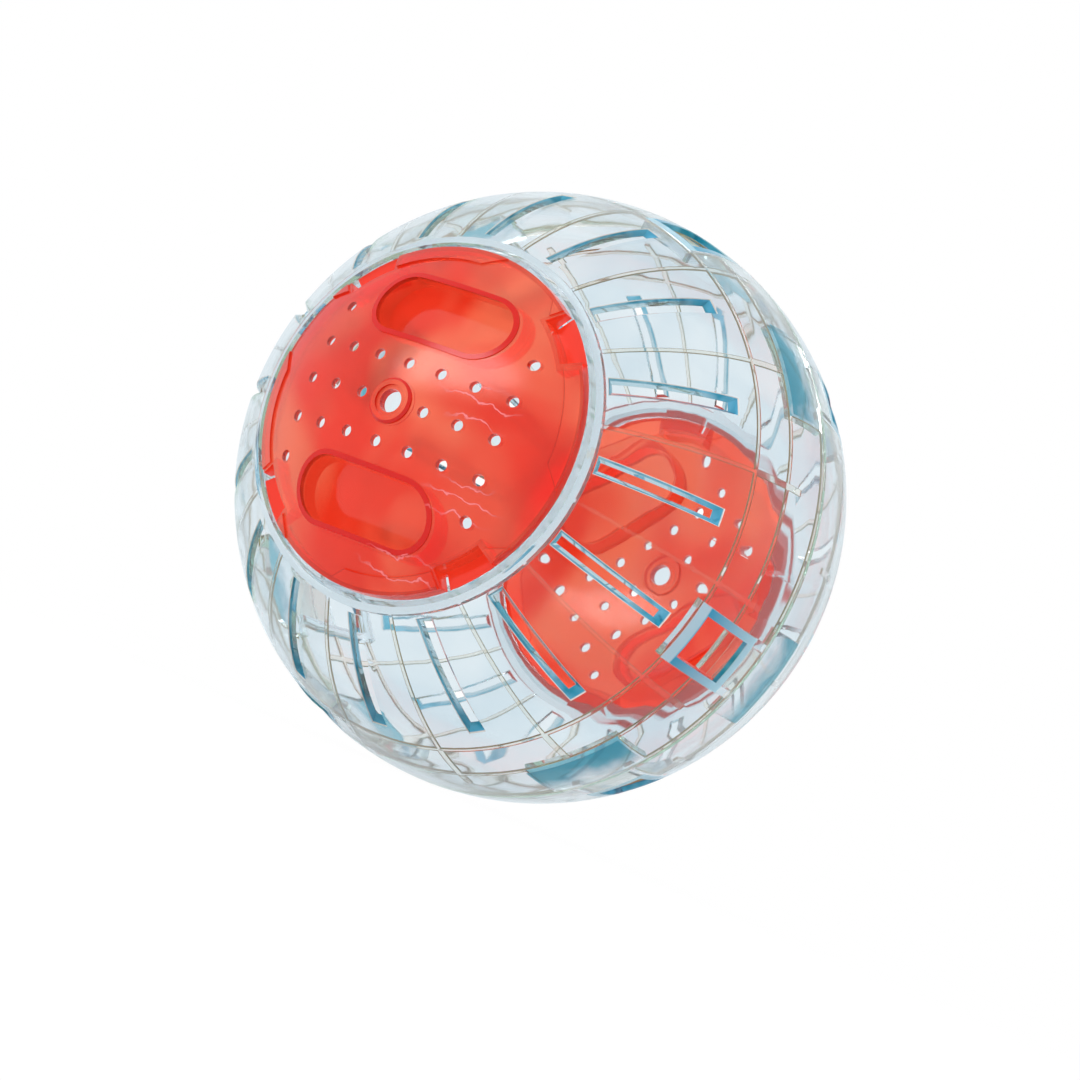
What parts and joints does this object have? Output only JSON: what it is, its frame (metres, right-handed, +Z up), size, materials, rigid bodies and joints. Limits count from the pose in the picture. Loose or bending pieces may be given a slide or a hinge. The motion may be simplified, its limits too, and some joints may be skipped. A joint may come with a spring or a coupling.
{
  "type": "hamster ball",
  "caption": "Clear exercise ball for a small pet: slotted half shells clipped on a seam, each with a round pull-out door with finger grips and air holes.",
  "frame": {"origin": "centre of the ball, where the seam's plane meets the axis through both doors", "axes": "+Y along the axis through both doors, towards the back door; the front door is at -Y; +X along the front door's rows of air holes; +Z up, across them"},
  "size_m": [0.19, 0.19, 0.19],
  "materials": {
    "clear_shell": "clear moulded polystyrene, polished, blue-green at its cut edges",
    "red_door": "transparent red-orange moulded polystyrene, polished"
  },
  "bodies": {
    "front_half": {"front_half_shell": "clear_shell"},
    "back_half": {"back_half_shell": "clear_shell"},
    "front_door": {"front_door": "red_door"},
    "back_door": {"back_door": "red_door"}
  },
  "joints": [
    {"name": "halves_pull_apart", "type": "slide", "parent": "front_half", "child": "back_half", "axis": [0, 1, 0], "range_m": [0, 0.07]},
    {"name": "front_door_pull_out", "type": "slide", "parent": "front_half", "child": "front_door", "axis": [0, -1, 0], "range_m": [0, 0.08]},
    {"name": "back_door_pull_out", "type": "slide", "parent": "back_half", "child": "back_door", "axis": [0, 1, 0], "range_m": [0, 0.08]}
  ]
}
